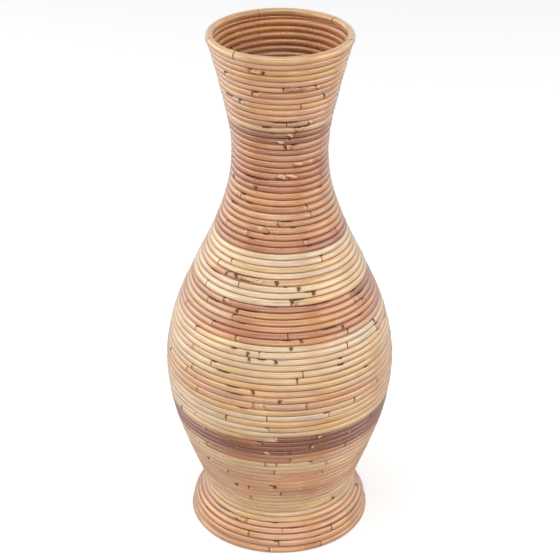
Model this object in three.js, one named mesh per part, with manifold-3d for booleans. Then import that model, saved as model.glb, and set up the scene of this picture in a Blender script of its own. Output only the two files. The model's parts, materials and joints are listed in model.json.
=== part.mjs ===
// A tall rattan vase with a round belly, a slim neck and a flared mouth.
// Its wall is one layer of round cane, wound in a single spiral from a foot hoop up to a rim hoop.
// The spiral is made of canes laid end to end. A board inside the foot hoop closes the bottom.
// Millimetres, +Z up, standing on Z = 0, with the axis of the vase on X = Y = 0.

import * as THREE from 'three';
import { mergeVertices } from 'three/addons/utils/BufferGeometryUtils.js';
import Module from 'manifold-3d';

// Thickness of the canes
const CANE_DIAMETER = 6.6;
const RIM_CANE_DIAMETER = 8.6;
const FOOT_CANE_DIAMETER = 8.2;

// Clearances: between one turn and the next, at each butt joint, and round the board and brads
const TURN_GAP = 0.5;
const JOINT_GAP = 0.3;
const FIT_GAP = 0.3;

// The wall's centreline from the foot hoop to the rim hoop.
// A rise is the height above the station before it, and a radius is measured from the axis.
// The flare above the foot hoop is set in from it, so that the board and the lowest turns stay with it.
const FOOT_RADIUS = 100.4;
const FLARE_RISE = 15.9;
const FLARE_INSET = 2.9;
const ANKLE_RISE = 14;
const ANKLE_RADIUS = 88;
const WAIST_RISE = 12;
const WAIST_RADIUS = 83.9;
const HEEL_RISE = 18;
const HEEL_RADIUS = 89.1;
const LOWER_BELLY_RISE = 46;
const LOWER_BELLY_RADIUS = 106.3;
const UNDER_BELLY_RISE = 50;
const UNDER_BELLY_RADIUS = 121.4;
const BELLY_RISE = 54;
const BELLY_RADIUS = 126.5;
const UPPER_BELLY_RISE = 54;
const UPPER_BELLY_RADIUS = 117.2;
const SHOULDER_RISE = 56;
const SHOULDER_RADIUS = 94.4;
const COLLAR_RISE = 56;
const COLLAR_RADIUS = 68.7;
const LOWER_NECK_RISE = 52;
const LOWER_NECK_RADIUS = 52.8;
const NECK_RISE = 48;
const NECK_RADIUS = 50.1;
const MOUTH_RISE = 60;
const MOUTH_RADIUS = 61.1;
const RIM_RISE = 55.7;
const RIM_RADIUS = 75.2;

// The spiral: how many canes it takes, the thin end that each end of it is pared down to, and where
// it starts, in degrees round the vase from the front
const CANE_COUNT = 44;
const SKIVE_TIP = 1.2;
const SPIRAL_START = 35;

// The canes aren't all equally thick. Each row is a turn of the spiral and how far its upper edge lies
// off the place that it would have with even canes.
const GROOVE_OFFSETS = [
  [1, 0],
  [4, -0.8],
  [8, -3.4],
  [13, -5.8],
  [22, -7],
  [27, -9],
  [30, -8.2],
  [33, -6.4],
  [37, -5],
  [44, -4.8],
  [50, -3.8],
  [56, -4.5],
  [60, -3.8],
  [64, -1.8],
  [67, -0.9],
  [72, -1.1],
  [78, -0.4],
  [84, 0],
];

// Joints of the hoops, in degrees round the vase from the front, and steps in a full circle
const RIM_JOINTS = [-38, 72, 127];
const FOOT_JOINTS = [28, 208];
const CANE_STEPS = 16;
const HOOP_STEPS = 32;
const CANE_SIDES = 6;
const HOOP_SIDES = 8;

// Fineness of the sums: divisions of the wall's curve, samples of the spiral's length, the shortest
// part of a step that still gets a section of its own, and the distance at which corners are one
const WALL_DIVISIONS = 2000;
const SPIRAL_SAMPLES = 4000;
const SHORTEST_STEP = 0.125;
const WELD_DISTANCE = 1e-4;

// The board in the foot and the brads that hold it
const BOARD_THICKNESS = 6;
const BOARD_EDGE_BREAK = 0.8;
const BRAD_COUNT = 8;
const BRAD_DIAMETER = 1.4;
const BRAD_LENGTH = 20;
const BRAD_POINT = 2;
const BRAD_HEAD_DIAMETER = 2.6;
const BRAD_HEAD_THICKNESS = 0.8;
const BRAD_SINK = 0.4;
const BRAD_SIDES = 6;
const FIRST_BRAD = 5.625;

// Cane colours, and how far up the wall each band of colour reaches, counted from the foot hoop
const COLOURS = {
  pale: 0xe0c69c,
  golden: 0xd2a873,
  peach: 0xd2a283,
  rosy: 0xc28c70,
  mauve: 0xab7560,
  dark: 0x875444,
};
const BANDS = [
  { reach: 33, colour: 'peach' },
  { reach: 67, colour: 'pale' },
  { reach: 120, colour: 'peach' },
  { reach: 150, colour: 'pale' },
  { reach: 179, colour: 'dark' },
  { reach: 292, colour: 'pale' },
  { reach: 335, colour: 'rosy' },
  { reach: 405, colour: 'pale' },
  { reach: 470, colour: 'mauve' },
  { reach: 545, colour: 'rosy' },
  { reach: Infinity, colour: 'golden' },
];
const BOARD_COLOUR = 0xc9a777;
const BRAD_COLOUR = 0x8d8a84;
const CANE_FINISH = { roughness: 0.45, metalness: 0 };
const BOARD_FINISH = { roughness: 0.7, metalness: 0 };
const BRAD_FINISH = { roughness: 0.4, metalness: 0.9 };

const FULL_TURN = 2 * Math.PI;
const wasm = await Module();
wasm.setup();

// The wall's centreline as a curve in the plane Y = 0

function wallStations() {
  const steps = [
    [FLARE_RISE, FOOT_RADIUS - FLARE_INSET],
    [ANKLE_RISE, ANKLE_RADIUS],
    [WAIST_RISE, WAIST_RADIUS],
    [HEEL_RISE, HEEL_RADIUS],
    [LOWER_BELLY_RISE, LOWER_BELLY_RADIUS],
    [UNDER_BELLY_RISE, UNDER_BELLY_RADIUS],
    [BELLY_RISE, BELLY_RADIUS],
    [UPPER_BELLY_RISE, UPPER_BELLY_RADIUS],
    [SHOULDER_RISE, SHOULDER_RADIUS],
    [COLLAR_RISE, COLLAR_RADIUS],
    [LOWER_NECK_RISE, LOWER_NECK_RADIUS],
    [NECK_RISE, NECK_RADIUS],
    [MOUTH_RISE, MOUTH_RADIUS],
    [RIM_RISE, RIM_RADIUS],
  ];
  let height = FOOT_CANE_DIAMETER / 2;
  const stations = [new THREE.Vector3(FOOT_RADIUS, 0, height)];
  for (const [rise, radius] of steps) {
    height += rise;
    stations.push(new THREE.Vector3(radius, 0, height));
  }
  return stations;
}

// Distance along the wall from a hoop's centre to where the spiral's room begins. A hoop lies level.

function hoopReach(end, diameter) {
  return diameter / 2 / wall.getTangentAt(end).z + TURN_GAP / 2;
}

const wall = new THREE.CatmullRomCurve3(wallStations(), false, 'centripetal');
wall.arcLengthDivisions = WALL_DIVISIONS;
const wallLength = wall.getLength();
const spiralBottom = hoopReach(0, FOOT_CANE_DIAMETER);
const spiralTop = wallLength - hoopReach(1, RIM_CANE_DIAMETER);
const turnCount = Math.round((spiralTop - spiralBottom) / (CANE_DIAMETER + TURN_GAP));
const pitch = (spiralTop - spiralBottom) / turnCount;

// A point of the wall: `along` is the distance up the centreline, and `out` the distance off it

function wallPoint(along, out, rise) {
  const place = THREE.MathUtils.clamp(along / wallLength, 0, 1);
  const point = wall.getPointAt(place);
  const tangent = wall.getTangentAt(place);
  const radius = point.x + rise * tangent.x + out * tangent.z;
  const height = point.z + rise * tangent.z - out * tangent.x;
  return { radius, height };
}

// Turns a radius, an angle from the front and a height into a point. The front looks along +Y.

function roundPoint(radius, angle, height) {
  return new THREE.Vector3(radius * Math.sin(angle), -radius * Math.cos(angle), height);
}

// Regular outline of a cane, first corner up the wall, with `flats` true where flats face up and down

function outline(sides, halfThickness, halfHeight, flats) {
  const turnBack = flats ? Math.PI / sides : 0;
  const spread = flats ? 1 / Math.cos(Math.PI / sides) : 1;
  const corners = [];
  for (let i = 0; i < sides; i += 1) {
    const angle = turnBack + (i * FULL_TURN) / sides;
    corners.push({
      out: halfThickness * spread * Math.sin(angle),
      rise: halfHeight * spread * Math.cos(angle),
    });
  }
  return corners;
}

// Closed mesh through a row of sections that all have the same number of corners

function loft(sections) {
  const sides = sections[0].length;
  const positions = [];
  for (const section of sections) {
    for (const point of section) {
      positions.push(point.x, point.y, point.z);
    }
  }
  const indices = [];
  for (let row = 0; row < sections.length - 1; row += 1) {
    for (let i = 0; i < sides; i += 1) {
      const a = row * sides + i;
      const b = row * sides + ((i + 1) % sides);
      indices.push(a, a + sides, b, b, a + sides, b + sides);
    }
  }
  const last = (sections.length - 1) * sides;
  for (let i = 1; i < sides - 1; i += 1) {
    indices.push(0, i, i + 1);
    indices.push(last, last + i + 1, last + i);
  }
  const geometry = new THREE.BufferGeometry();
  geometry.setAttribute('position', new THREE.Float32BufferAttribute(positions, 3));
  geometry.setIndex(indices);
  geometry.computeVertexNormals();
  return geometry;
}

// Sections from one angle to another on a fixed grid of steps. An end that falls between two grid
// angles lies on the chord between them, so that pieces laid end to end line up.

function sectionsBetween(from, to, steps, sectionAt) {
  const stepAngle = FULL_TURN / steps;
  const onChord = (angle) => {
    const lower = Math.floor(angle / stepAngle);
    const share = angle / stepAngle - lower;
    const start = sectionAt(lower * stepAngle);
    const end = sectionAt((lower + 1) * stepAngle);
    return start.map((point, i) => point.clone().lerp(end[i], share));
  };
  const shortest = stepAngle * SHORTEST_STEP;
  const sections = [onChord(from)];
  for (let i = Math.ceil((from + shortest) / stepAngle); i * stepAngle < to - shortest; i += 1) {
    sections.push(sectionAt(i * stepAngle));
  }
  sections.push(onChord(to));
  return sections;
}

// The spiral. A turn angle of 0 is its start on the foot hoop, and it climbs about one pitch a turn.
// Its first turn thickens from nothing on the level hoop, and its last thins under the rim hoop.

function grooveOffset(turns) {
  const next = GROOVE_OFFSETS.findIndex(([turn]) => turn > turns);
  if (next === 0) {
    return GROOVE_OFFSETS[0][1];
  }
  if (next < 0) {
    return GROOVE_OFFSETS[GROOVE_OFFSETS.length - 1][1];
  }
  const [fromTurn, fromOffset] = GROOVE_OFFSETS[next - 1];
  const [toTurn, toOffset] = GROOVE_OFFSETS[next];
  return THREE.MathUtils.mapLinear(turns, fromTurn, toTurn, fromOffset, toOffset);
}

function upperEdge(turnAngle) {
  const turns = turnAngle / FULL_TURN;
  const even = spiralBottom + pitch * turns;
  return THREE.MathUtils.clamp(even + grooveOffset(turns), spiralBottom, spiralTop);
}

function spiralSpan(turnAngle) {
  return { lower: upperEdge(turnAngle - FULL_TURN), upper: upperEdge(turnAngle) };
}

function spiralSection(turnAngle) {
  const span = spiralSpan(turnAngle);
  const middle = (span.lower + span.upper) / 2;
  const halfHeight = Math.max((span.upper - span.lower - TURN_GAP) / 2, SKIVE_TIP / 2);
  const halfThickness = CANE_DIAMETER / 2;
  const angle = THREE.MathUtils.degToRad(SPIRAL_START) - turnAngle;
  return outline(CANE_SIDES, halfThickness, halfHeight, false).map((corner) => {
    const place = wallPoint(middle, corner.out, corner.rise);
    return roundPoint(place.radius, angle, place.height);
  });
}

const spiralFrom = (FULL_TURN * (SKIVE_TIP + TURN_GAP)) / pitch;
const spiralTo = FULL_TURN * (turnCount + 1) - spiralFrom;

function spiralRadius(turnAngle) {
  const span = spiralSpan(turnAngle);
  return wallPoint((span.lower + span.upper) / 2, 0, 0).radius;
}

// Turn angles that share the spiral into canes of equal length

function caneEnds() {
  const step = (spiralTo - spiralFrom) / SPIRAL_SAMPLES;
  const lengths = [0];
  for (let i = 0; i < SPIRAL_SAMPLES; i += 1) {
    lengths.push(lengths[i] + spiralRadius(spiralFrom + (i + 0.5) * step) * step);
  }
  const caneLength = lengths[SPIRAL_SAMPLES] / CANE_COUNT;
  const ends = [];
  let i = 0;
  for (let cane = 0; cane < CANE_COUNT; cane += 1) {
    while (lengths[i + 1] < cane * caneLength) {
      i += 1;
    }
    const share = (cane * caneLength - lengths[i]) / (lengths[i + 1] - lengths[i]);
    ends.push(spiralFrom + (i + share) * step);
  }
  ends.push(spiralTo);
  return ends;
}

function caneGeometry(from, to) {
  const start = from + JOINT_GAP / 2 / spiralRadius(from);
  const end = to - JOINT_GAP / 2 / spiralRadius(to);
  return loft(sectionsBetween(start, end, CANE_STEPS, spiralSection));
}

// Smallest distance between a turn and the next one, measured corner to corner up the wall

function leastTurnGap() {
  const stepAngle = FULL_TURN / CANE_STEPS;
  const first = Math.ceil(spiralFrom / stepAngle);
  const last = Math.floor(spiralTo / stepAngle) - CANE_STEPS;
  let least = Infinity;
  for (let i = first; i <= last; i += 1) {
    const below = spiralSection(i * stepAngle);
    const above = spiralSection((i + CANE_STEPS) * stepAngle);
    for (const a of below) {
      for (const b of above) {
        least = Math.min(least, a.distanceTo(b));
      }
    }
  }
  return least;
}

// Hoops: a level ring of thick cane, in pieces that butt end to end

function hoopSection(place, diameter) {
  const corners = outline(HOOP_SIDES, diameter / 2, diameter / 2, true);
  return (angle) => corners.map((corner) => {
    return roundPoint(place.x + corner.out, angle, place.z + corner.rise);
  });
}

function hoopGeometries(place, diameter, joints) {
  const halfGap = JOINT_GAP / 2 / place.x;
  return joints.map((joint, i) => {
    const next = i + 1 < joints.length ? joints[i + 1] : joints[0] + 360;
    const start = THREE.MathUtils.degToRad(joint) + halfGap;
    const end = THREE.MathUtils.degToRad(next) - halfGap;
    const sections = sectionsBetween(start, end, HOOP_STEPS, hoopSection(place, diameter));
    return loft(sections.reverse());
  });
}

const footPlace = wall.getPoint(0);
const rimPlace = wall.getPoint(1);

// Round piece from a profile of [radius, height] points, closed on its axis, standing along +Z

function turned(profile, segments) {
  const points = profile.map(([radius, height]) => new THREE.Vector2(radius, height));
  return new THREE.LatheGeometry(points, segments).rotateX(Math.PI / 2);
}

// The board, cut to fit inside whatever is narrowest over its thickness: the hoop or the lowest turns

function boardRadius() {
  let radius = FOOT_RADIUS - FOOT_CANE_DIAMETER / 2;
  const top = footPlace.z + BOARD_THICKNESS / 2 + FIT_GAP;
  const stepAngle = FULL_TURN / CANE_STEPS;
  const first = Math.ceil(spiralFrom / stepAngle);
  for (let i = first; i < first + 2 * CANE_STEPS; i += 1) {
    for (const corner of spiralSection(i * stepAngle)) {
      if (corner.z < top) {
        radius = Math.min(radius, Math.hypot(corner.x, corner.y) * Math.cos(stepAngle / 2));
      }
    }
  }
  return radius - FIT_GAP;
}

function boardSolid() {
  const radius = boardRadius();
  const half = BOARD_THICKNESS / 2;
  return turned([
    [0, -half],
    [radius - BOARD_EDGE_BREAK, -half],
    [radius, -half + BOARD_EDGE_BREAK],
    [radius, half - BOARD_EDGE_BREAK],
    [radius - BOARD_EDGE_BREAK, half],
    [0, half],
  ], HOOP_STEPS).translate(0, 0, footPlace.z);
}

// Brads: driven level through the foot hoop into the edge of the board, point towards the axis

function bradProfile() {
  const shank = BRAD_DIAMETER / 2;
  const head = BRAD_HEAD_DIAMETER / 2;
  return [
    [0, 0],
    [shank, BRAD_POINT],
    [shank, BRAD_LENGTH],
    [head, BRAD_LENGTH],
    [head, BRAD_LENGTH + BRAD_HEAD_THICKNESS],
    [0, BRAD_LENGTH + BRAD_HEAD_THICKNESS],
  ];
}

// Hole for a brad, with a wider mouth in which the head lies below the surface of the hoop

function bradHoleProfile() {
  const shank = BRAD_DIAMETER / 2 + FIT_GAP;
  const head = BRAD_HEAD_DIAMETER / 2 + FIT_GAP;
  const mouth = BRAD_LENGTH + BRAD_HEAD_THICKNESS + BRAD_SINK + FOOT_CANE_DIAMETER / 2;
  return [
    [0, -FIT_GAP],
    [shank, -FIT_GAP],
    [shank, BRAD_LENGTH - FIT_GAP],
    [head, BRAD_LENGTH - FIT_GAP],
    [head, mouth],
    [0, mouth],
  ];
}

function bradPlaced(profile, index) {
  const hoopSurface = FOOT_RADIUS + FOOT_CANE_DIAMETER / 2;
  const headSeat = hoopSurface - BRAD_SINK - BRAD_HEAD_THICKNESS;
  const angle = THREE.MathUtils.degToRad(FIRST_BRAD) + (index * FULL_TURN) / BRAD_COUNT;
  return turned(profile, BRAD_SIDES)
    .rotateX(Math.PI / 2)
    .translate(0, BRAD_LENGTH - headSeat, footPlace.z)
    .rotateZ(angle);
}

// Joining and cutting

function toManifold(geometry) {
  const bare = geometry.clone();
  bare.deleteAttribute('normal');
  bare.deleteAttribute('uv');
  const merged = mergeVertices(bare, WELD_DISTANCE);
  return new wasm.Manifold(new wasm.Mesh({
    numProp: 3,
    vertProperties: new Float32Array(merged.attributes.position.array),
    triVerts: new Uint32Array(merged.index.array),
  }));
}

function fromManifold(solid) {
  const mesh = solid.getMesh();
  const geometry = new THREE.BufferGeometry();
  geometry.setAttribute('position', new THREE.Float32BufferAttribute(mesh.vertProperties, 3));
  geometry.setIndex(Array.from(mesh.triVerts));
  geometry.computeVertexNormals();
  return geometry;
}

function drilled(geometry) {
  let solid = toManifold(geometry);
  for (let i = 0; i < BRAD_COUNT; i += 1) {
    solid = solid.subtract(toManifold(bradPlaced(bradHoleProfile(), i)));
  }
  return fromManifold(solid);
}

// The vase

const vase = new THREE.Group();

function add(name, geometry, colour, finish) {
  const material = new THREE.MeshStandardMaterial({ color: colour, ...finish });
  const mesh = new THREE.Mesh(geometry, material);
  mesh.name = name;
  vase.add(mesh);
}

function caneColour(from, to) {
  const span = spiralSpan((from + to) / 2);
  const middle = (span.lower + span.upper) / 2;
  return COLOURS[BANDS.find((band) => middle < band.reach).colour];
}

const ends = caneEnds();
for (let i = 0; i < CANE_COUNT; i += 1) {
  const name = `cane_${String(i + 1).padStart(2, '0')}`;
  add(name, caneGeometry(ends[i], ends[i + 1]), caneColour(ends[i], ends[i + 1]), CANE_FINISH);
}

hoopGeometries(rimPlace, RIM_CANE_DIAMETER, RIM_JOINTS).forEach((geometry, i) => {
  add(`rim_hoop_${i + 1}`, geometry, COLOURS.golden, CANE_FINISH);
});

hoopGeometries(footPlace, FOOT_CANE_DIAMETER, FOOT_JOINTS).forEach((geometry, i) => {
  add(`foot_hoop_${i + 1}`, drilled(geometry), COLOURS.peach, CANE_FINISH);
});

add('base_board', drilled(boardSolid()), BOARD_COLOUR, BOARD_FINISH);

for (let i = 0; i < BRAD_COUNT; i += 1) {
  add(`brad_${i + 1}`, bradPlaced(bradProfile(), i), BRAD_COLOUR, BRAD_FINISH);
}

console.log(`${turnCount} turns, ${pitch.toFixed(3)} mm apart, least gap ${leastTurnGap().toFixed(3)} mm`);

export default vase;
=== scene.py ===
"""The looks of the rattan vase: one spiral of round cane between a rim hoop and a foot hoop.

Metres, +Z up, with the axis of the vase on X = Y = 0. Angles round the vase are counted from the
front (-Y) towards +X. Heights on the wall are counted along its centreline, up from the foot hoop.
"""

import json
import math

import bmesh
import bpy
import numpy as np
from mathutils import Matrix, Vector


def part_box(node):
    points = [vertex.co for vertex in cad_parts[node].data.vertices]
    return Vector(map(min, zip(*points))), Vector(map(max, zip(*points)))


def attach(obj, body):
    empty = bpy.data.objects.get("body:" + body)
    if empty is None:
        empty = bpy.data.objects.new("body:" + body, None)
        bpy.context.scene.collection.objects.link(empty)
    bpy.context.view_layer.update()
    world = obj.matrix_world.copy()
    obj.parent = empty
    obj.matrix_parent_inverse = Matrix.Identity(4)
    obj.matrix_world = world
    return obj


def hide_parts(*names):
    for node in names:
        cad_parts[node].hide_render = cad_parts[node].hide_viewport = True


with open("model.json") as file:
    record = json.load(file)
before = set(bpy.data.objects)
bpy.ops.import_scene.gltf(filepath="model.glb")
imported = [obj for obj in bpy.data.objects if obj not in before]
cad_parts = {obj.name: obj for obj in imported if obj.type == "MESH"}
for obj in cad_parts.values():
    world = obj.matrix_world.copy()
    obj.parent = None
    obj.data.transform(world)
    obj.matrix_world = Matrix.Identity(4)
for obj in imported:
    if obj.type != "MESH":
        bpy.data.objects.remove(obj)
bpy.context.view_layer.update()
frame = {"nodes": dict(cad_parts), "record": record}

MM = 0.001
TURN = 2 * math.pi

# Canes and clearances, as the CAD parts have them
FOOT_CANE = 8.2 * MM
RIM_CANE = 8.6 * MM
TURN_GAP = 0.5 * MM
SKIVE_TIP = 1.2 * MM
JOINT_GAP = 0.3 * MM
HOOP_NIP = 0.8 * MM
TURNS = 86
CANE_COUNT = 44
SPIRAL_START = math.radians(35)
RIM_JOINTS = [-38, 72, 127]
FOOT_JOINTS = [28, 208]

# The wall's centreline: height of each station above the floor, and its radius
WALL = [
    (4.1, 100.4), (20, 97.5), (34, 88.0), (46, 83.9), (64, 89.1), (110, 106.3), (160, 121.4), (214, 126.5),
    (268, 117.2), (324, 94.4), (380, 68.7), (432, 52.8), (480, 50.1), (540, 61.1), (595.7, 75.2),
]

# How far the upper edge of a turn lies off an even place, since the canes aren't all equally thick
GROOVE_OFFSETS = [
    (1, 0), (4, -0.8), (8, -3.4), (13, -5.8), (22, -7), (27, -9), (30, -8.2), (33, -6.4), (37, -5),
    (44, -4.8), (50, -3.8), (56, -4.5), (60, -3.8), (64, -1.8), (67, -0.9), (72, -1.1), (78, -0.4), (84, 0),
]

# How finely a cane is modelled: distance between its rings, and corners round it
RING_STEP = 2.8 * MM
CANE_CORNERS = 16
HOOP_CORNERS = 24

# Half a cane's thickness through the wall, and how far out its outer face lies from the wall's centreline
EVEN_HALF = 2.9 * MM
OUTER_FACE = 3.35 * MM

# How round a cane's section is: 1 is a full ellipse, less is squarer. The lower canes are sanded flatter.
ROUND = 0.95
FLATTENED = 0.74
FLAT_BELOW = 370 * MM
ROUND_ABOVE = 430 * MM

# Cane tones, as they look in plain white light
TONES = {
    "cream": (220, 190, 150),
    "straw": (213, 178, 133),
    "wheat": (209, 167, 118),
    "honey": (205, 154, 94),
    "peach": (205, 153, 110),
    "tan": (194, 137, 88),
    "rose": (177, 114, 71),
    "clay": (154, 92, 52),
    "umber": (138, 72, 30),
    "walnut": (126, 61, 23),
}

# Tone of each cane, by the height of its course on the wall at the front, from the right. A further pair
# gives the angle of a joint where the next cane begins, going left, and that cane's tone.
COURSES = [
    (9, "peach"), (16, "peach"), (22, "peach"), (29, "peach"), (36, "wheat"), (42, "straw"),
    (49, "wheat"), (55, "straw"), (62, "straw"), (68, "wheat"), (75, "peach"), (82, "tan", 2, "peach"),
    (88, "tan", -20, "peach"), (95, "peach"), (102, "peach"), (109, "peach"), (116, "peach"),
    (123, "wheat", -3, "peach", -47, "straw"), (130, "straw"), (137, "peach", 18, "straw"),
    (144, "peach", 6, "rose", -44, "straw"), (151, "rose"), (157, "walnut"), (164, "umber"),
    (171, "walnut", -9, "clay"), (177, "umber", -1, "straw"), (184, "straw", -45, "cream"),
    (191, "wheat", -5, "cream"), (199, "wheat", -27, "straw"), (206, "straw", 25, "cream"),
    (213, "wheat"), (221, "peach"), (229, "peach"), (236, "wheat"), (244, "wheat"),
    (251, "wheat", 9, "straw"), (259, "straw", -37, "cream"), (266, "straw"), (273, "cream"),
    (280, "peach", 62, "cream"), (287, "cream"), (294, "peach", 41, "tan", -25, "peach"),
    (302, "rose", -42, "peach"), (309, "tan"), (316, "rose", 59, "tan", -29, "wheat"),
    (323, "rose", 62, "tan", -51, "peach"), (330, "clay", 52, "rose", -38, "tan", -50, "rose"),
    (338, "straw", 7, "cream"), (345, "straw", 22, "cream"), (352, "cream"), (359, "wheat"),
    (366, "cream"), (373, "straw", -41, "cream"), (380, "straw", 35, "cream"), (387, "cream"),
    (394, "clay", 21, "rose"), (401, "rose"), (409, "tan"), (416, "tan"), (423, "tan"),
    (431, "tan", 33, "peach"), (438, "tan", 30, "rose"), (446, "tan", -48, "peach"), (453, "tan"),
    (461, "rose"), (468, "rose"), (476, "rose"), (483, "clay", 40, "rose"), (490, "rose"), (497, "tan"),
    (504, "rose"), (511, "tan"), (518, "clay"), (525, "clay"), (532, "wheat"), (540, "tan"),
    (547, "peach"), (554, "peach"), (561, "honey", -38, "peach"), (568, "peach"),
    (576, "tan", -25, "peach"), (583, "tan", 3, "peach"), (590, "peach"), (597, "honey"),
    (604, "honey", -26, "peach"), (611, "peach"),
]

# Places on the front where the canes show something: an angle and a height on the wall, in millimetres.
# A joint is where two canes butt. Its third value is the crack beside it, in degrees towards the right.
JOINTS = [
    (0, 9, -5), (2, 22, 1), (-24, 29, 2), (1, 82, 0), (-20, 88, 1), (-3, 95, -4), (-47, 118, 1),
    (-3, 123, 0),
    (18, 137, -2), (6, 144, 1), (-44, 144, 0), (-51, 137, 0), (38, 151, 1), (16, 164, 2), (-9, 171, -3),
    (19, 177, 1), (-48, 184, 0), (-5, 191, -3), (-27, 199, 0), (25, 206, -4), (40, 213, 0), (9, 251, -1),
    (51, 244, -4), (-37, 259, 4), (-11, 281, 1), (64, 281, 5), (-53, 290, 3), (-25, 295, 1), (41, 295, 1),
    (-42, 302, 3), (-29, 316, 3), (60, 318, 2), (-51, 325, 8), (-38, 332, 2), (52, 327, 8), (7, 338, 8),
    (22, 345, 3), (-41, 371, 0), (35, 378, 3), (21, 398, 9), (-1, 422, 10), (33, 430, 0), (30, 438, -1),
    (-48, 446, 8), (-41, 561, 3), (-25, 575, 6), (3, 583, 1), (-54, 590, 4), (-26, 604, 4), (-60, 410, 2),
]
SCARFS = [(-6, 221), (-14, 415), (-1, 177), (44, 488)]
NODES = [
    (-21, 16), (-21, 68), (27, 130), (26, 116), (-8, 137), (-41, 171), (40, 171), (-13, 221), (13, 221),
    (-52, 266), (-45, 220), (-50, 247), (-31, 408), (30, 540), (62, 318), (-33, 110), (57, 224), (-70, 300),
]
KNOTS = [
    (-17, 281), (-16, 274), (-2, 275), (6, 288), (-13, 240), (0, 231), (-67, 461), (-28, 458), (-2, 361),
    (-42, 361), (-33, 361), (38, 303), (-29, 88), (46, 50), (-61, 177), (-14, 605), (6, 512), (-75, 240),
    (13, 351), (-27, 320), (45, 570), (12, 292), (8, 335), (-3, 97), (23, 345), (64, 284),
]
# Stretches: the angles where one begins and ends, and its height
CRACKS = [
    (-7, 1, 32), (0, 25, 22), (-63, -30, 29), (-13, -6, 274), (-30, -18, 237), (-30, -14, 230),
    (-22, -14, 214), (-35, -24, 252), (31, 35, 265), (30, 36, 258), (-28, -22, 281), (62, 72, 275),
    (22, 37, 301), (48, 59, 301), (0, 8, 294), (-27, -18, 309), (-49, -39, 325), (-30, -10, 323),
    (52, 70, 324), (8, 40, 331), (-12, 2, 330),
    (8, 18, 338), (15, 28, 345), (-55, -5, 360), (-64, -45, 354), (2, 6, 353), (22, 31, 393),
    (-31, -22, 401),
    (-17, -9, 408), (-1, 17, 423), (9, 18, 416), (-68, -50, 433), (-46, -40, 447), (-41, -28, 439),
    (47, 60, 453), (-55, -5, 468), (9, 22, 510), (8, 13, 518), (14, 18, 526), (-13, -5, 526), (-22, -7, 533),
    (5, 40, 532), (-15, 25, 540), (-65, -48, 561), (30, 34, 581),
]
CHIPS = [
    (-33, -25, 29), (30, 36, 540), (17, 23, 532), (8, 14, 525), (-3, 5, 518), (7, 10, 509), (17, 28, 490),
    (-4, 8, 476), (8, 20, 476), (-2, 1, 422), (45, 49, 568), (33, 37, 582), (-40, -36, 561), (-24, -16, 604),
    (53, 57, 325), (-37, -33, 332), (-8, -5, 157), (-52, -49, 446), (-28, -12, 360),
]
ROUGH = [(3, 24, 583), (10, 15, 511), (-24, -14, 605), (8, 13, 337), (-8, 6, 476), (-60, -10, 360)]

BACK_SEED = 71
BACK_MARKS = 110

# Each course takes its tone at this angle, out of sight on the right
COURSE_START = 100
# A tone changes at a cut that is nearer than this, and sharply; elsewhere it changes over a longer way
CUT_NEARBY = 14 * MM
SHARP_CHANGE = 0.5 * MM
SLOW_CHANGE = 26 * MM
# Point marks keep this clear of a cane's ends, and a slanted end starts this far from the joint
END_CLEARANCE = 12 * MM
SLANT_REACH = 14 * MM

# Half the floor's side, in metres: the lamps light it white no further out
FLOOR_HALF = 1.9


# Sockets as values, so that shader maths reads as plain expressions


class Wire:
    """An output socket of a material's node. Expressions on wires add the nodes that work them out."""

    def __init__(self, shader, socket):
        self.shader = shader
        self.socket = socket

    def maths(self, operation, first, second=0.0):
        return self.shader.node("ShaderNodeMath", {"operation": operation}, {0: first, 1: second})

    def __add__(self, other):
        return self.maths("ADD", self, other)

    def __radd__(self, other):
        return self.maths("ADD", other, self)

    def __sub__(self, other):
        return self.maths("SUBTRACT", self, other)

    def __rsub__(self, other):
        return self.maths("SUBTRACT", other, self)

    def __mul__(self, other):
        return self.maths("MULTIPLY", self, other)

    def __rmul__(self, other):
        return self.maths("MULTIPLY", other, self)

    def between(self, low, high):
        """0 below low, 1 above high, and smooth from one to the other."""
        settings = {"interpolation_type": "SMOOTHSTEP"}
        values = {"Value": self, "From Min": low, "From Max": high}
        return self.shader.node("ShaderNodeMapRange", settings, values)


class Shader:
    """A material under construction."""

    def __init__(self, name):
        self.material = bpy.data.materials.new(name)
        self.material.use_nodes = True
        self.tree = self.material.node_tree
        self.tree.nodes.clear()
        self.out = self.tree.nodes.new("ShaderNodeOutputMaterial")

    def node(self, kind, settings, values, output=0):
        made = self.tree.nodes.new(kind)
        for key, value in settings.items():
            setattr(made, key, value)
        for key, value in values.items():
            if isinstance(value, Wire):
                self.tree.links.new(value.socket, made.inputs[key])
            else:
                made.inputs[key].default_value = value
        return Wire(self, made.outputs[output])

    def attribute(self, name, output):
        return self.node("ShaderNodeAttribute", {"attribute_name": name}, {}, output)

    def stretched(self, vector, along, across):
        """A place in the straight cane, scaled to one unit for each grain length and width."""
        factors = (1 / along, 1 / across, 1 / across)
        return self.node("ShaderNodeVectorMath", {"operation": "MULTIPLY"}, {0: vector, 1: factors})

    def noise(self, vector, scale=1.0, detail=2.0, rough=0.5):
        values = {"Vector": vector, "Scale": scale, "Detail": detail, "Roughness": rough}
        return self.node("ShaderNodeTexNoise", {}, values)

    def blend(self, share, first, second, kind="MIX"):
        """Colour that goes from the first to the second as share goes from 0 to 1."""
        settings = {"data_type": "RGBA", "blend_type": kind}
        return self.node("ShaderNodeMix", settings, {0: share, 6: first, 7: second}, 2)

    def bump(self, height, strength, distance):
        values = {"Strength": strength, "Distance": distance, "Height": height}
        return self.node("ShaderNodeBump", {}, values)

    def surface(self, values):
        principled = self.node("ShaderNodeBsdfPrincipled", {}, values)
        self.tree.links.new(principled.socket, self.out.inputs["Surface"])
        return self.material


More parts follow.
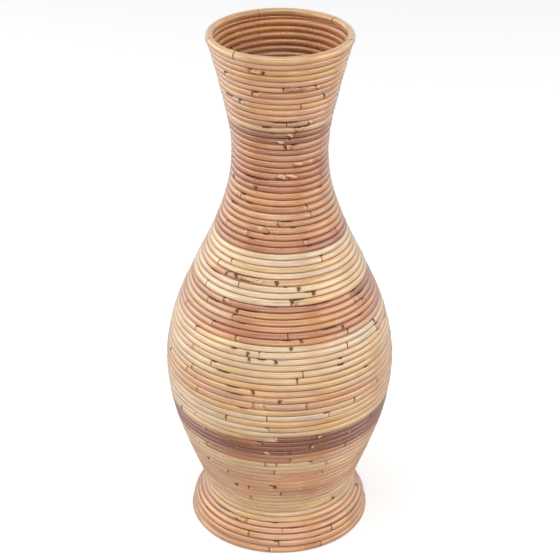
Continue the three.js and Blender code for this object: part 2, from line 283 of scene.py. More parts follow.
def linear(tone):
    """Scene-linear colour of an sRGB one that is given in steps of 255."""
    channels = [step / 255 for step in tone]
    return tuple(((c + 0.055) / 1.055) ** 2.4 if c > 0.04045 else c / 12.92 for c in channels)


def rattan(name, gloss):
    """Round rattan: long fine grain, painted shade in the grooves between canes, flecks, ragged marks and a
    clear gloss lacquer.
    """
    shader = Shader(name)
    tone = shader.attribute("tone", "Color")
    grain = shader.attribute("grain", "Vector")
    inside = shader.attribute("inside", "Fac")
    streak = shader.noise(shader.stretched(grain, 40 * MM, 1.5 * MM), detail=3.0, rough=0.6)
    fibre = shader.noise(shader.stretched(grain, 12 * MM, 0.26 * MM), detail=2.0)
    stain = shader.noise(shader.stretched(grain, 46 * MM, 5 * MM), detail=3.0)
    blush = shader.noise(shader.stretched(grain, 90 * MM, 9 * MM), detail=2.0)
    drift = shader.noise(shader.stretched(grain, 26 * MM, 4 * MM), detail=2.0)
    # How strongly the painted groove shade shows, changing slowly along the cane
    groove_shade_strength = drift.between(0.42, 0.66)
    grit = shader.noise(shader.stretched(grain, 1.6 * MM, 0.6 * MM), detail=2.0)
    ticks = shader.noise(shader.stretched(grain, 1.3 * MM, 4.5 * MM), detail=2.0).between(0.5, 0.72)
    fleck = shader.noise(shader.stretched(grain, 3.4 * MM, 0.5 * MM), detail=1.0).between(0.69, 0.77)
    ragged = shader.noise(shader.stretched(grain, 3.2 * MM, 1.5 * MM), detail=3.0, rough=0.6)
    ink = (shader.attribute("dark", "Fac") + (grit - 0.5) * 0.5 + (ragged - 0.5) * 1.2).between(0.28, 0.56)
    fray = shader.noise(shader.stretched(grain, 2.6 * MM, 0.7 * MM), detail=3.0)
    pits = shader.noise(shader.stretched(grain, 0.9 * MM, 0.8 * MM), detail=1.0).between(0.55, 0.66)
    chip = (shader.attribute("pale", "Fac") + (fray - 0.5) * 1.2 + (ragged - 0.5) * 2.2).between(0.36, 0.54)
    # valley is 1 in the grooves between canes, where the painted shade goes
    valley = (shader.attribute("valley", "Fac") + (grit - 0.5) * 0.12).between(0.82, 1.02)
    brown = (shader.attribute("brown", "Fac") + (fray - 0.5) * 1.3 + (fibre - 0.5) * 0.7).between(0.25, 0.95)
    # Painted shade: near-black stretches along the grooves between canes, as a deeper gap there would be in
    # shade
    crack = valley * drift.between(0.63, 0.70)
    rough_inside = inside * ticks
    lighter = shader.blend(streak.between(0.42, 0.72) * 0.55, tone, (1.40, 1.38, 1.30, 1), "MULTIPLY")
    darker = shader.blend(fibre.between(0.45, 0.8) * 0.55, lighter, (0.62, 0.47, 0.36, 1), "MULTIPLY")
    blushed = shader.blend(blush.between(0.5, 0.75) * 0.5, darker, (0.86, 0.66, 0.50, 1), "MULTIPLY")
    stained = shader.blend(stain.between(0.54, 0.74) * 0.6, blushed, (0.72, 0.50, 0.33, 1), "MULTIPLY")
    browned = shader.blend(brown * 0.75, stained, (0.66, 0.38, 0.17, 1), "MULTIPLY")
    flecked = shader.blend(fleck * 0.6, browned, (0.10, 0.04, 0.018, 1))
    place = shader.node("ShaderNodeTexCoord", {}, {}, "Object")
    # Inner faces: a warmer tint near the mouth, and painted shade that darkens them lower down inside the
    # vase
    high = shader.node("ShaderNodeSeparateXYZ", {}, {"Vector": place}, "Z").between(0.50, 0.585)
    inside_tint_and_depth_shade = shader.blend(high, (0.34, 0.125, 0.035, 1), (1.0, 0.77, 0.42, 1))
    inside_tinted_and_shaded = shader.blend(inside, flecked, inside_tint_and_depth_shade, "MULTIPLY")
    ticked = shader.blend(rough_inside * 0.5, inside_tinted_and_shaded, (0.20, 0.07, 0.025, 1))
    scraped = shader.blend(inside * fray.between(0.56, 0.66) * 0.45, ticked, (0.80, 0.55, 0.30, 1))
    # Painted shade: the grooves where canes touch are darkened brown, more in some stretches than in others
    groove_shaded = shader.blend(valley * (0.42 + 0.55 * groove_shade_strength), scraped, (0.40, 0.19, 0.07, 1), "MULTIPLY")
    # The painted groove shade goes near-black in those stretches
    cracked = shader.blend(crack * 0.85, groove_shaded, (0.07, 0.024, 0.010, 1))
    frayed = shader.blend(chip * 0.85, cracked, (0.80, 0.60, 0.35, 1))
    pitted = shader.blend(chip * pits * 0.8, frayed, (0.30, 0.12, 0.04, 1))
    inked = shader.blend(ink * 0.94, pitted, (0.085, 0.030, 0.010, 1))
    height = fibre * 0.5 + streak * 0.3 - fleck * 0.6 - ink * 1.2 + chip * grit * 1.4 - rough_inside
    return shader.surface({
        "Base Color": inked,
        "Roughness": gloss + 0.18 * (streak - 0.5) + 0.35 * ink + 0.25 * chip + 0.2 * inside + 0.3 * valley,
        "Coat Weight": (1 - 0.9 * ink) * (1 - chip) * (1 - 0.8 * valley),
        "Coat Roughness": 0.17,
        "Coat IOR": 1.6,
        "IOR": 1.5,
        "Normal": shader.bump(height, 0.4, 0.13 * MM),
    })


def plywood(name):
    """Birch plywood: pale face grain, and darker and paler layers on its edge."""
    shader = Shader(name)
    place = shader.node("ShaderNodeTexCoord", {}, {}, "Object")
    stretch = {"operation": "MULTIPLY"}
    along = shader.node("ShaderNodeVectorMath", stretch, {0: place, 1: (6.0, 90.0, 6.0)})
    figure = shader.noise(along, detail=4.0)
    pores = shader.noise(shader.node("ShaderNodeVectorMath", stretch, {0: place, 1: (90.0, 1500.0, 90.0)}))
    split = shader.node("ShaderNodeSeparateXYZ", {}, {"Vector": place}, "Z")
    layer = split.maths("SINE", (split - 4.1 * MM) * (TURN / (2.4 * MM))).between(-0.4, 0.4)
    normal = shader.node("ShaderNodeNewGeometry", {}, {}, "Normal")
    upright = shader.node("ShaderNodeSeparateXYZ", {}, {"Vector": normal}, "Z")
    edge = 1 - upright.maths("ABSOLUTE", upright).between(0.2, 0.8)
    face = shader.blend(figure.between(0.3, 0.7), (0.62, 0.43, 0.24, 1), (0.48, 0.30, 0.15, 1))
    poured = shader.blend(pores.between(0.55, 0.8) * 0.4, face, (0.25, 0.14, 0.07, 1))
    layered = shader.blend(layer * edge * 0.6, poured, (0.22, 0.11, 0.05, 1))
    return shader.surface({
        "Base Color": layered,
        "Roughness": 0.62 + 0.15 * figure,
        "Normal": shader.bump(pores, 0.3, 0.1 * MM),
    })


def steel(name):
    """Dull drawn steel wire with faint spots."""
    shader = Shader(name)
    place = shader.node("ShaderNodeTexCoord", {}, {}, "Object")
    spots = shader.noise(place, scale=900.0, detail=3.0)
    colour = shader.blend(spots.between(0.5, 0.75), (0.30, 0.28, 0.26, 1), (0.16, 0.11, 0.08, 1))
    return shader.surface({"Base Color": colour, "Metallic": 0.9, "Roughness": 0.35 + 0.3 * spots})


# The wall and the spiral on it


def wall_curve():
    """The smooth curve through the stations, as rows of height, radius and distance along it."""
    stations = np.array([(radius, height) for height, radius in WALL]) * MM
    ends = np.vstack([2 * stations[0] - stations[1], stations, 2 * stations[-1] - stations[-2]])
    pieces = []
    share = np.linspace(0, 1, 120, endpoint=False)[:, None]
    for i in range(1, len(ends) - 2):
        before, start, end, after = ends[i - 1:i + 3]
        d0 = math.sqrt(np.linalg.norm(start - before))
        d1 = math.sqrt(np.linalg.norm(end - start))
        d2 = math.sqrt(np.linalg.norm(after - end))
        leave = ((start - before) / d0 - (end - before) / (d0 + d1) + (end - start) / d1) * d1
        arrive = ((end - start) / d1 - (after - start) / (d1 + d2) + (after - end) / d2) * d1
        pieces.append(
            start * (2 * share**3 - 3 * share**2 + 1) + leave * (share**3 - 2 * share**2 + share)
            + end * (3 * share**2 - 2 * share**3) + arrive * (share**3 - share**2)
        )
    points = np.vstack(pieces + [stations[-1]])
    along = np.concatenate([[0], np.cumsum(np.hypot(*np.diff(points, axis=0).T))])
    return along, points[:, 0], points[:, 1]


wall_along, wall_radius, wall_height = wall_curve()
wall_lean = np.gradient(wall_radius, wall_along)
wall_climb = np.gradient(wall_height, wall_along)
wall_length = wall_along[-1]
spiral_bottom = FOOT_CANE / 2 / wall_climb[0] + TURN_GAP / 2
spiral_top = wall_length - RIM_CANE / 2 / wall_climb[-1] - TURN_GAP / 2
pitch = (spiral_top - spiral_bottom) / TURNS


def waver(turns):
    """How far a groove of the spiral lies above its even place: the canes aren't equally thick."""
    fade = np.clip(np.minimum(turns, TURNS - turns) / 2, 0, 1)
    quick = 0.26 * np.sin(TURN * turns / 2.7 + 2.2) + 0.14 * np.sin(TURN * turns / 1.37 + 0.5)
    at, offset = zip(*GROOVE_OFFSETS)
    return (np.interp(turns, at, offset) + quick * fade) * MM


def groove(turn_angle):
    """Height along the wall of the upper edge of the spiral at a turn angle."""
    turns = turn_angle / TURN
    nip = HOOP_NIP * (np.clip(2 * (turns - TURNS) + 1, 0, 1) - np.clip(1 - 2 * turns, 0, 1))
    even = spiral_bottom + pitch * turns + waver(turns) + nip
    return np.clip(even, spiral_bottom - HOOP_NIP, spiral_top + HOOP_NIP)


def course_middle(turn_angle):
    return (groove(turn_angle) + groove(turn_angle - TURN)) / 2


spiral_from = TURN * (SKIVE_TIP + TURN_GAP) / pitch
spiral_to = TURN * (TURNS + 1) - spiral_from
tip_from = TURN * 0.03
tip_to = TURN * (TURNS + 1) - tip_from
turn_table = np.linspace(tip_from, tip_to, 40000)
radius_table = np.interp(course_middle(turn_table), wall_along, wall_radius)
length_steps = np.diff(turn_table) * (radius_table[1:] + radius_table[:-1]) / 2
length_table = np.concatenate([[0], np.cumsum(length_steps)])
cane_from, cane_to = np.interp([spiral_from, spiral_to], turn_table, length_table)
cane_length = (cane_to - cane_from) / CANE_COUNT


front_turns = SPIRAL_START + TURN * np.arange(TURNS + 1)
front_middles = course_middle(front_turns) / MM


def place_on(angle, height):
    """Distance along the spiral to an angle in degrees, on the course nearest a height at the front."""
    course = front_turns[np.argmin(np.abs(front_middles - height))]
    return float(np.interp(course - math.radians(angle), turn_table, length_table))


# What happens along the spiral: tones and marks, by distance from its start


def tone_changes():
    """Distances along the spiral where the tone changes, with the new tone."""
    changes = []
    for height, first, *others in COURSES:
        changes.append((place_on(COURSE_START, height), first))
        for angle, tone in zip(others[::2], others[1::2]):
            changes.append((place_on(angle, height), tone))
    return sorted(changes)


class Mark:
    """Something that shows on a cane. It lies at a distance from the spiral's start and reaches some way
    to both sides; hook is the length of the crack beside a joint, and is under 0 on its other side."""

    def __init__(self, kind, at, random, half=0.0, hook=0.0):
        self.kind = kind
        self.at = at
        self.half = half
        self.hook = hook
        self.side = random.uniform(-0.9, 0.9)
        self.size = random.uniform(0.8, 1.25)
        self.wear = random.uniform(0, 1)


def front_marks():
    random = np.random.default_rng(BACK_SEED + 1)
    marks = []
    for angle, height, hook in JOINTS:
        at = place_on(angle, height)
        marks.append(Mark("joint", at, random, hook=place_on(angle + hook, height) - at))
    for kind, places in (("scarf", SCARFS), ("node", NODES), ("knot", KNOTS)):
        marks += [Mark(kind, place_on(angle, height), random) for angle, height in places]
    for kind, stretches in (("crack", CRACKS), ("chip", CHIPS), ("rough", ROUGH)):
        for start, end, height in stretches:
            first, last = place_on(end, height), place_on(start, height)
            marks.append(Mark(kind, (first + last) / 2, random, half=(last - first) / 2))
    return marks


def back_marks():
    """Marks on the part of the wall that faces away from the front, as many for its size."""
    random = np.random.default_rng(BACK_SEED)
    kinds = ["joint", "joint", "joint", "scarf", "node", "knot", "crack", "crack", "crack", "chip", "rough"]
    marks = []
    while len(marks) < BACK_MARKS:
        at = place_on(random.uniform(78, 282), random.uniform(8, 608))
        kind = kinds[random.integers(len(kinds))]
        half = random.uniform(3, 22 if kind == "crack" else 10) * MM
        marks.append(Mark(kind, at, random, half, random.uniform(-9, 9) * MM))
    return marks


changes = tone_changes()
change_at = np.array([at for at, tone in changes])
change_tone = [tone for at, tone in changes]
all_marks = front_marks() + back_marks()
cuts = np.array([mark.at for mark in all_marks if mark.kind in ("joint", "scarf")])
nearest_cut = [cuts[np.argmin(np.abs(cuts - at))] for at in change_at]
at_a_cut = [abs(cut - at) < CUT_NEARBY for cut, at in zip(nearest_cut, change_at)]
change_fade = [SHARP_CHANGE if cut else SLOW_CHANGE for cut in at_a_cut]
change_at = np.where(at_a_cut, nearest_cut, change_at)


def smooth_noise(along, seed, length):
    """Smooth values of about -1 to 1 along a cane, seeded, that change over about the given length."""
    random = np.random.default_rng(seed)
    total = np.zeros_like(along)
    for octave in range(4):
        step = length / 1.9**octave
        total += np.sin(TURN * along / step + random.uniform(0, TURN)) * 0.6**octave
    return total / 1.6


# Bending a straight cane into place


def cane_blank(name, rings, corners):
    """A straight tube of cane with closed ends, made from a curve, to be bent into place."""
    curve = bpy.data.curves.new(name, "CURVE")
    curve.dimensions = "3D"
    curve.bevel_mode = "ROUND"
    curve.bevel_depth = 1.0
    curve.bevel_resolution = corners // 2 - 2
    curve.use_fill_caps = True
    spline = curve.splines.new("POLY")
    spline.points.add(rings - 1)
    flat = np.zeros((rings, 4))
    flat[:, 0] = np.arange(rings) * 10
    flat[:, 3] = 1
    spline.points.foreach_set("co", flat.ravel())
    holder = bpy.data.objects.new(name, curve)
    mesh = bpy.data.meshes.new_from_object(holder)
    bpy.data.objects.remove(holder)
    bpy.data.curves.remove(curve)
    return mesh


class Path:
    """Centres, outward and upward directions, half thicknesses and roundness of a cane's rings."""

    def __init__(self, along, centre, outward, upward, half_out, half_up, power):
        self.along = along
        self.centre = centre
        self.outward = outward
        self.upward = upward
        self.half_out = half_out
        self.half_up = half_up
        self.power = power


def round_directions(angle, lean, climb):
    """Outward and upward directions of the wall at an angle round the vase."""
    sideways = np.stack([np.sin(angle), -np.cos(angle), np.zeros_like(angle)], axis=1)
    up = np.array([0.0, 0.0, 1.0])
    outward = sideways * climb[:, None] - up * lean[:, None]
    upward = sideways * lean[:, None] + up * climb[:, None]
    return sideways, outward, upward


def spiral_path(along, seed):
    turn_angle = np.interp(along, length_table, turn_table)
    lower = groove(turn_angle - TURN)
    upper = groove(turn_angle)
    middle = (lower + upper) / 2
    radius = np.interp(middle, wall_along, wall_radius)
    height = np.interp(middle, wall_along, wall_height)
    lean = np.interp(middle, wall_along, wall_lean)
    climb = np.interp(middle, wall_along, wall_climb)
    sideways, outward, upward = round_directions(SPIRAL_START - turn_angle, lean, climb)
    in_and_out = 0.22 * MM * smooth_noise(along, seed, 0.33)
    centre = sideways * radius[:, None]
    centre[:, 2] += height
    centre += outward * in_and_out[:, None]
    half_up = (upper - lower) / 2 * (1.0 + 0.012 * smooth_noise(along, seed + 1, 0.21))
    half_out = 0.35 * half_up + 0.65 * EVEN_HALF
    centre += outward * (OUTER_FACE - half_out)[:, None]
    power = np.interp(middle, [FLAT_BELOW, ROUND_ABOVE], [FLATTENED, ROUND])
    return Path(along, centre, outward, upward, half_out, half_up, power)


def hoop_path(along, start, radius, height, thickness, seed):
    angle = start + along / radius
    ones = np.ones_like(angle)
    sideways, outward, upward = round_directions(angle, 0 * ones, ones)
    centre = sideways * radius
    centre[:, 2] += height
    half = thickness / 2 * (1 + 0.012 * smooth_noise(along, seed, 0.17) - 0.012)
    return Path(along, centre, outward, upward, half, half, ROUND * ones)


def ring_places(start, end, marks):
    """Distances of a cane's rings: even steps, with more rings where a mark or an end needs them."""
    close = np.array([0, 0.15, 0.35, 0.6, 0.9, 1.3, 1.8, 2.5, 3.5, 5.0]) * MM
    places = list(np.arange(start, end, RING_STEP)) + [end]
    places += list(start + close[:6]) + list(end - close[:6])
    for mark in marks:
        for edge in {mark.at - mark.half, mark.at, mark.at + mark.half}:
            places += list(edge + close) + list(edge - close)
    places = np.unique(np.clip(places, start, end))
    kept = [places[0]]
    for place in places[1:]:
        if place - kept[-1] > 0.12 * MM:
            kept.append(place)
    kept[-1] = end
    return np.array(kept)


def patch(reach, around, start, end, middle, width):
    """1 at the middle of a patch along and round a cane, falling smoothly to 0 at its edges."""
    along = (2 * reach - start - end) / (end - start)
    aside = np.angle(np.exp(1j * (around[None, :] - middle))) / width
    return np.clip(1.25 - along**2 - 0.35 * along**4 - aside**2, 0, 1)


def cut_joint(mark, reach, around, layers):
    """A butt joint: a dark cut, a stain round it, and often a cracked corner and a frayed pale end."""
    sway = np.sin(around + mark.side * 3)[None, :]
    width = (0.4 + 0.3 * mark.wear) * MM
    cut = np.exp(-(np.abs(reach - 0.7 * MM * sway) / width)**3)
    fade = (0.66 + 0.2 * mark.wear + 0.2 * np.sin(around + 1.5 * mark.side))[None, :]
    layers.depth -= 0.22 * cut * fade
    layers.darken(cut * fade)
    layers.stain((0.4 + 0.5 * mark.wear) * patch(reach, around, -3 * MM, 3 * MM, 0.8, 1.2))
    way = 1 if mark.hook > 0 else -1
    length = max(abs(mark.hook), 1.4 * MM)
    hook = patch(way * reach, around, -0.8 * MM, length, 1.05, 0.45)
    layers.depth -= 0.1 * hook
    layers.darken((0.7 + 0.25 * mark.wear) * hook)
    if mark.wear > 0.45:
        layers.bleach(0.5 * patch(way * reach, around, 0.6 * MM, (3 + 4 * mark.wear) * MM, 0.1, 0.7))
    layers.depth += 0.04 * way * np.tanh(reach / (0.4 * MM)) * np.exp(-np.abs(reach) / (9 * MM))


def cut_scarf(mark, reach, around, layers):
    """A slanted joint, with the thin end of one cane laid over the other."""
    sway = np.sin(around + mark.side * 3)[None, :]
    near = np.abs(reach - 4.2 * MM * sway) / (0.55 * MM * mark.size)
    layers.depth -= 0.24 * np.exp(-near**4)
    layers.darken(0.92 * np.exp(-near**4))
    layers.bleach(0.6 * patch(reach, around, 1.5 * MM, 9 * MM, 0.4, 0.7))


def grow_node(mark, reach, around, layers):
    """A node: a low swelling with a broken brown line, a stain and a paler scar beside it."""
    sway = np.sin(around * 2 + mark.side * 3)[None, :]
    swelling = np.exp(-(reach / (3.4 * MM * mark.size))**2)
    line = np.exp(-((reach - 0.5 * MM * sway) / (0.5 * MM))**2)
    layers.depth += 0.055 * swelling - 0.06 * line
    layers.darken((0.45 + 0.3 * mark.wear) * line)
    layers.stain(0.9 * patch(reach, around, -4 * MM, 2.5 * MM, 0.2, 1.3))
    layers.bleach(0.5 * patch(reach, around, 0.6 * MM, 4 * MM, 0.3, 0.8))


def press_knot(mark, reach, around, layers):
    """A small dark knot of no even shape, with a tail, in a brown stain."""
    tilt = mark.side * 0.5 + 0.2
    spot = patch(reach, around, -2.2 * MM * mark.size, 1.9 * MM, tilt + 250 * reach * mark.side, 0.7)
    lobe = patch(reach, around, -0.2 * MM, 3.2 * MM * mark.size, tilt + 0.5, 0.4)
    tail = patch(reach, around, -4.5 * MM, 0.5 * MM, tilt + 0.5, 0.28)
    layers.depth -= 0.18 * np.maximum(spot, lobe)
    layers.darken(0.98 * np.maximum(spot, lobe * mark.wear))
    layers.darken(0.6 * tail * (mark.wear < 0.5))
    layers.stain(0.9 * patch(reach, around, -4 * MM, 4 * MM, 0.2, 1.1))


def open_crack(mark, reach, around, layers):
    """A dark open groove along the upper edge of a cane, with a brown stain."""
    half = max(mark.half, 2 * MM)
    crack = patch(reach, around, -half, half, 1.08, 0.34 + 0.13 * mark.wear)
    layers.depth -= 0.12 * crack
    layers.darken((0.8 + 0.2 * mark.wear) * crack)
    layers.stain(0.7 * patch(reach, around, -half, half, 1.0, 1.0))


def scrape_chip(mark, reach, around, layers):
    """A pale slanting scrape where the skin has come off, dark along one edge."""
    half = max(1.4 * mark.half, 2.5 * MM)
    slant = 0.3 + 0.3 * mark.side + 0.45 * np.clip(reach / half, -1, 1)
    layers.bleach(0.66 * patch(reach, around, -half, half, slant, 0.62))
    layers.darken(0.62 * patch(reach, around, -half * 0.2, half + 1.5 * MM, slant - 0.85, 0.3))
    layers.stain(0.9 * patch(reach, around, -half - 3 * MM, half + 3 * MM, -0.2, 1.3))
    layers.depth += 0.05 * patch(reach, around, -half, half, slant, 0.8)


def roughen(mark, reach, around, layers):
    """A rough brown stretch, worn dark below and pale above."""
    half = max(mark.half, 3 * MM)
    layers.stain(1.5 * patch(reach, around, -half, half, 0.2, 1.5))
    layers.darken(0.34 * patch(reach, around, -half, half, -0.4, 0.6))
    layers.bleach(0.4 * patch(reach, around, -half, half, 0.9, 0.5))
    layers.depth -= 0.06 * patch(reach, around, -half, half, 0.0, 1.1)


WORK = {
    "joint": cut_joint, "scarf": cut_scarf, "node": grow_node, "knot": press_knot, "crack": open_crack,
    "chip": scrape_chip, "rough": roughen,
}


class Layers:
    """What the marks do to a cane: depth factor, darkness, paleness and stain at each corner of a ring."""

    def __init__(self, rings, corners):
        self.depth = np.ones((rings, corners))
        self.dark = np.zeros((rings, corners))
        self.pale = np.zeros((rings, corners))
        self.brown = np.zeros((rings, corners))

    def darken(self, amount):
        self.dark = np.maximum(self.dark, amount)

    def bleach(self, amount):
        self.pale = np.maximum(self.pale, amount)

    def stain(self, amount):
        self.brown = np.maximum(self.brown, amount)


def worked_layers(path, around, marks, ends):
    along = path.along[:, None]
    layers = Layers(len(path.along), len(around))
    for end in ends:
        near = np.abs(along - end) / MM
        layers.depth -= 0.16 * np.clip(1 - near / 0.8, 0, 1)**2
        layers.darken(0.8 * np.clip(1.1 - near / 0.7, 0, 1))
    for mark in marks:
        WORK[mark.kind](mark, along - mark.at, around, layers)
    return layers


def tones_along(along, seed):
    """Colour of the cane at each ring: it turns over a short way, and drifts slowly as natural cane does."""
    shades = np.array([linear(TONES[tone]) for tone in change_tone])
    index = np.clip(np.searchsorted(change_at, along, side="right") - 1, 0, None)
    colours = shades[index]
    for at, fade, before, after in zip(change_at[1:], change_fade[1:], shades, shades[1:]):
        share = np.clip((along - at) / fade + 0.5, 0, 1)[:, None]
        near = np.abs(along - at) < fade / 2
        colours[near] = (before + (after - before) * share)[near]
    lightness = 1 + 0.09 * smooth_noise(along, seed, 0.12)
    warmth = 0.15 * smooth_noise(along, seed + 5, 0.31)
    rosiness = 0.05 * smooth_noise(along, seed + 9, 0.17)
    red = lightness * (1 + warmth * 0.3)
    green = lightness * (1 - rosiness)
    blue = lightness * (1 - warmth)
    return colours * np.stack([red, green, blue], axis=1)


def bend_cane(name, node, path, colours, marks, ends, corners, material, floor=None, slants=(0, 0)):
    """Bends a straight blank to a path, cuts its marks, and replaces the CAD part with it."""
    rings = len(path.along)
    mesh = cane_blank(name, rings, corners)
    count = len(mesh.vertices)
    flat = np.empty(count * 3)
    mesh.vertices.foreach_get("co", flat)
    straight = flat.reshape(-1, 3)
    wound = 1.0 if corners == CANE_CORNERS else 0.0
    ring = np.rint(straight[:, 0] / 10).astype(int)
    corner_angle = np.arctan2(straight[:, 2], straight[:, 1])
    around = np.arange(corners) * TURN / corners
    corner = np.rint(corner_angle / TURN * corners).astype(int) % corners
    layers = worked_layers(path, around, marks, ends)
    depth = layers.depth[ring, corner]
    cosine = np.cos(around)[corner]
    sine = np.sin(around)[corner]
    out = path.half_out[ring] * depth * np.sign(cosine) * np.abs(cosine)**path.power[ring]
    rise = path.half_up[ring] * (0.85 + 0.15 * depth) * np.sign(sine) * np.abs(sine)**path.power[ring]
    placed = path.centre[ring] + path.outward[ring] * out[:, None] + path.upward[ring] * rise[:, None]
    forward = np.cross(path.upward, path.outward)[ring]
    near_start = np.clip(1 - (path.along - path.along[0]) / SLANT_REACH, 0, 1)[ring]
    near_end = np.clip(1 - (path.along[-1] - path.along) / SLANT_REACH, 0, 1)[ring]
    placed += forward * ((slants[0] * near_start + slants[1] * near_end) * cosine)[:, None]
    if floor is not None:
        placed[:, 2] = np.maximum(placed[:, 2], floor)
    mesh.vertices.foreach_set("co", placed.ravel())
    tone = mesh.attributes.new("tone", "FLOAT_COLOR", "POINT")
    tone.data.foreach_set("color", np.column_stack([colours[ring], np.ones(count)]).ravel())
    grain = mesh.attributes.new("grain", "FLOAT_VECTOR", "POINT")
    grain.data.foreach_set("vector", np.column_stack([path.along[ring], out, rise]).ravel())
    values = {
        "dark": layers.dark[ring, corner],
        "pale": layers.pale[ring, corner],
        "brown": layers.brown[ring, corner],
        "valley": np.abs(sine) * wound,
        "inside": np.clip(-1.5 * cosine, 0, 1) * wound,
    }
    for label, amounts in values.items():
        layer = mesh.attributes.new(label, "FLOAT", "POINT")
        layer.data.foreach_set("value", amounts)
    mesh.polygons.foreach_set("use_smooth", [True] * len(mesh.polygons))
    shell = bmesh.new()
    shell.from_mesh(mesh)
    bmesh.ops.recalc_face_normals(shell, faces=shell.faces)
    shell.to_mesh(mesh)
    shell.free()
    mesh.materials.clear()
    mesh.materials.append(material)
    piece = bpy.data.objects.new(name, mesh)
    bpy.context.scene.collection.objects.link(piece)
    dress(piece, node)


def slot_of(node):
    for part in frame["record"]["subparts"]:
        if part["node"] == node:
            return part["material_slot"]
    raise ValueError(node)


def dress(piece, node):
    """The piece stands for a CAD node, which it hides, and moves with the vase."""
    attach(piece, "root")
    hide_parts(node)


def wound_canes(materials):
    for number in range(1, CANE_COUNT + 1):
        start = cane_from + (number - 1) * cane_length + JOINT_GAP / 2 if number > 1 else 0
        end = cane_from + number * cane_length - JOINT_GAP / 2 if number < CANE_COUNT else length_table[-1]
        marks = [m for m in all_marks if start - m.half < m.at < end + m.half]
        marks = [m for m in marks if m.half or start + END_CLEARANCE < m.at < end - END_CLEARANCE]
        path = spiral_path(ring_places(start, end, marks), number * 10)
        colours = tones_along(path.along, number * 10 + 3)
        node = f"cane_{number:02d}"
        material = materials[slot_of(node)]
        bend_cane(f"wound_{node}", node, path, colours, marks, (start, end), CANE_CORNERS, material)


def hoop(label, joints, radius, height, thickness, tones, material, floor=None, slants=(0, 0, 0)):
    """The pieces of a hoop, each bent from one joint to the next, with a slanted cut where one is given."""
    for i, joint in enumerate(joints):
        following = joints[i + 1] if i + 1 < len(joints) else joints[0] + 360
        start = math.radians(joint)
        length = math.radians(following - joint) * radius - JOINT_GAP
        random = np.random.default_rng(BACK_SEED + 2 + i)
        marks = [Mark("node", length * share, random) for share in (0.37, 0.81) if length > 0.15]
        along = ring_places(0, length, marks)
        path = hoop_path(along, start + JOINT_GAP / 2 / radius, radius, height, thickness, 500 + i)
        share = 0.5 + 0.5 * smooth_noise(along, 540 + i, 0.21)
        first, second = (np.array(linear(TONES[tone])) for tone in tones)
        plain = first + (second - first) * np.clip(share, 0, 1)[:, None]
        lightness = 1 + 0.11 * smooth_noise(along, 520 + i, 0.11)
        node = f"{label}_{i + 1}"
        colours = plain * lightness[:, None]
        cuts = (slants[i], slants[(i + 1) % len(joints)])
        bend_cane(
            f"bent_{node}", node, path, colours, marks, (0, length), HOOP_CORNERS, material, floor, cuts,
        )


def finish_mesh(name, shape, material):
    mesh = bpy.data.meshes.new(name)
    bmesh.ops.recalc_face_normals(shape, faces=shape.faces)
    shape.to_mesh(mesh)
    shape.free()
    mesh.materials.append(material)
    piece = bpy.data.objects.new(name, mesh)
    bpy.context.scene.collection.objects.link(piece)
    return piece


def foot_board(material):
    """The round plywood board in the foot, with broken edges."""
    low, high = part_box("base_board")
    radius = (high.x - low.x) / 2
    board = bmesh.new()
    bmesh.ops.create_circle(board, cap_ends=True, segments=144, radius=radius)
    bmesh.ops.translate(board, verts=board.verts, vec=(0, 0, low.z))
    lifted = bmesh.ops.extrude_face_region(board, geom=list(board.faces))
    top = [v for v in lifted["geom"] if isinstance(v, bmesh.types.BMVert)]
    bmesh.ops.translate(board, verts=top, vec=(0, 0, high.z - low.z))
    rims = [e for e in board.edges if abs(e.verts[0].co.z - e.verts[1].co.z) < 1e-6]
    bmesh.ops.bevel(
        board, geom=rims, offset=0.8 * MM, segments=3, profile=0.5, affect="EDGES", material=-1,
    )
    piece = finish_mesh("board", board, material)
    dress(piece, "base_board")


def brads(material):
    """Wire brads with small domed heads, turned from half a profile each."""
    for number in range(1, 9):
        node = f"brad_{number}"
        low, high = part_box(node)
        middle = (low + high) / 2
        direction = Vector((middle.x, middle.y, 0)).normalized()
        ends = ((low.x, low.y, 0), (high.x, high.y, 0))
        reach = max(abs(Vector(end).dot(direction)) for end in ends)
        brad = bmesh.new()
        profile = [(0, 0), (0.7, 2), (0.7, 19.6), (1.3, 20), (1.3, 20.5), (0.9, 20.8), (0, 20.9)]
        corners = [brad.verts.new((r * MM, 0, z * MM)) for r, z in profile]
        edges = [brad.edges.new(pair) for pair in zip(corners, corners[1:])]
        bmesh.ops.spin(
            brad, geom=corners + edges, cent=(0, 0, 0), axis=(0, 0, 1), angle=TURN, steps=20,
            use_merge=True, use_duplicate=False,
        )
        bmesh.ops.remove_doubles(brad, verts=brad.verts, dist=1e-6)
        turn = Vector((0, 0, 1)).rotation_difference(direction).to_matrix().to_4x4()
        seat = direction * (reach - 20.8 * MM)
        seat.z = middle.z
        bmesh.ops.transform(brad, matrix=Matrix.Translation(seat) @ turn, verts=brad.verts)
        piece = finish_mesh(f"wire_{node}", brad, material)
        dress(piece, node)


# The camera, the floor and the light


def camera():
    """At the photograph's viewpoint: above the vase, looking down a little."""
    data = bpy.data.cameras.new("camera")
    data.sensor_width = 36
    data.lens = 112.65
    lens = bpy.data.objects.new("camera", data)
    lens.location = (0.0003, -1.7508, 1.2320)
    lens.rotation_euler = (math.radians(62.08), 0, 0)
    lens.rotation_euler.rotate_axis("Z", math.radians(0.13))
    bpy.context.scene.collection.objects.link(lens)
    bpy.context.scene.camera = lens


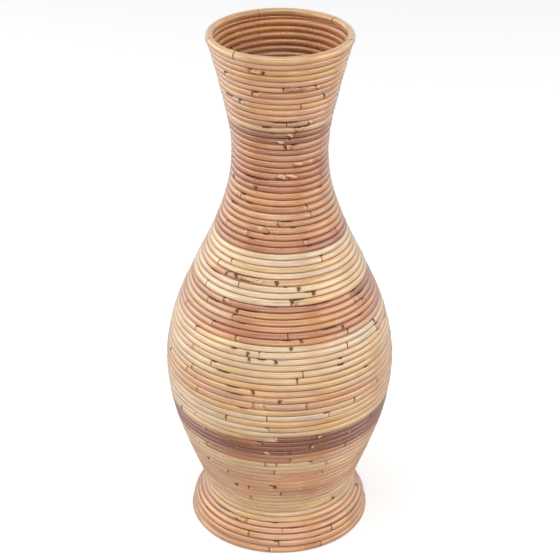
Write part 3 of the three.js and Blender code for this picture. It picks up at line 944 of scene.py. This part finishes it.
def pale_floor():
    """A floor that shows white to the camera and keeps the vase's shadow."""
    shape = bmesh.new()
    bmesh.ops.create_grid(shape, x_segments=1, y_segments=1, size=FLOOR_HALF)
    shader = Shader("floor")
    rays = shader.node("ShaderNodeLightPath", {}, {}, "Is Camera Ray")
    matt = shader.node("ShaderNodeBsdfDiffuse", {}, {"Color": (0.6, 0.6, 0.6, 1)})
    glow = shader.node("ShaderNodeEmission", {}, {"Color": (1, 1, 1, 1), "Strength": rays * 0.58})
    both = shader.node("ShaderNodeAddShader", {}, {0: matt, 1: glow})
    shader.tree.links.new(both.socket, shader.out.inputs["Surface"])
    floor = finish_mesh("floor", shape, shader.material)


def studio_light():
    """Soft light from all round, with large soft lamps on each side, above, in front and behind. The
    camera, glossy rays and transmission rays see the world as plain white."""
    world = bpy.data.worlds.new("studio")
    world.use_nodes = True
    tree = world.node_tree
    tree.nodes.clear()
    paths = tree.nodes.new("ShaderNodeLightPath")
    strengths = {"lit": 0.34, "seen": 1.0}
    grounds = {}
    for label, strength in strengths.items():
        grounds[label] = tree.nodes.new("ShaderNodeBackground")
        grounds[label].inputs["Color"].default_value = (1, 1, 1, 1)
        grounds[label].inputs["Strength"].default_value = strength
    white = paths.outputs["Is Camera Ray"]
    for ray in ("Is Glossy Ray", "Is Transmission Ray"):
        either = tree.nodes.new("ShaderNodeMath")
        either.operation = "MAXIMUM"
        tree.links.new(white, either.inputs[0])
        tree.links.new(paths.outputs[ray], either.inputs[1])
        white = either.outputs[0]
    sight = tree.nodes.new("ShaderNodeMixShader")
    out = tree.nodes.new("ShaderNodeOutputWorld")
    tree.links.new(white, sight.inputs[0])
    tree.links.new(grounds["lit"].outputs[0], sight.inputs[1])
    tree.links.new(grounds["seen"].outputs[0], sight.inputs[2])
    tree.links.new(sight.outputs[0], out.inputs[0])
    bpy.context.scene.world = world
    lamps = [
        ("left", (-1.9, -0.1, 1.0), 2.0, 1.4, 18.9),
        ("right", (2.0, -0.6, 0.8), 2.0, 1.4, 18.9),
        ("back_left", (-1.6, 1.2, 1.0), 1.2, 1.2, 6.3),
        ("back_right", (1.6, 1.2, 1.0), 1.2, 1.2, 3.6),
        ("above", (-0.15, -0.9, 2.3), 2.2, 0.7, 20.2),
        ("front", (0.1, -2.3, 0.3), 2.4, 0.7, 13.1),
    ]
    for name, place, width, depth, power in lamps:
        data = bpy.data.lights.new(name, "AREA")
        data.shape = "RECTANGLE"
        data.size = width
        data.size_y = depth
        data.energy = power
        lamp = bpy.data.objects.new(name, data)
        lamp.location = place
        aim = Vector((0, 0, 0.3)) - Vector(place)
        lamp.rotation_euler = aim.to_track_quat("-Z", "Y").to_euler()
        bpy.context.scene.collection.objects.link(lamp)


camera()
bpy.context.scene.view_settings.view_transform = "Standard"
slots = sorted({slot_of(node) for node in frame["nodes"] if node.startswith(("cane", "rim", "foot"))})
canes = {slot: rattan(slot, 0.34) for slot in slots}
wound_canes(canes)
rim_radius, rim_height = WALL[-1][1] * MM, WALL[-1][0] * MM
foot_radius, foot_height = WALL[0][1] * MM, WALL[0][0] * MM
hoop(
    "rim_hoop", RIM_JOINTS, rim_radius, rim_height, RIM_CANE, ("honey", "wheat"),
    canes[slot_of("rim_hoop_1")], slants=(0.5 * MM, 5 * MM, -2.5 * MM),
)
hoop(
    "foot_hoop", FOOT_JOINTS, foot_radius, foot_height, FOOT_CANE, ("peach", "tan"),
    canes[slot_of("foot_hoop_1")], floor=0,
)
foot_board(plywood("base_board"))
brads(steel("brad_steel"))
pale_floor()
studio_light()
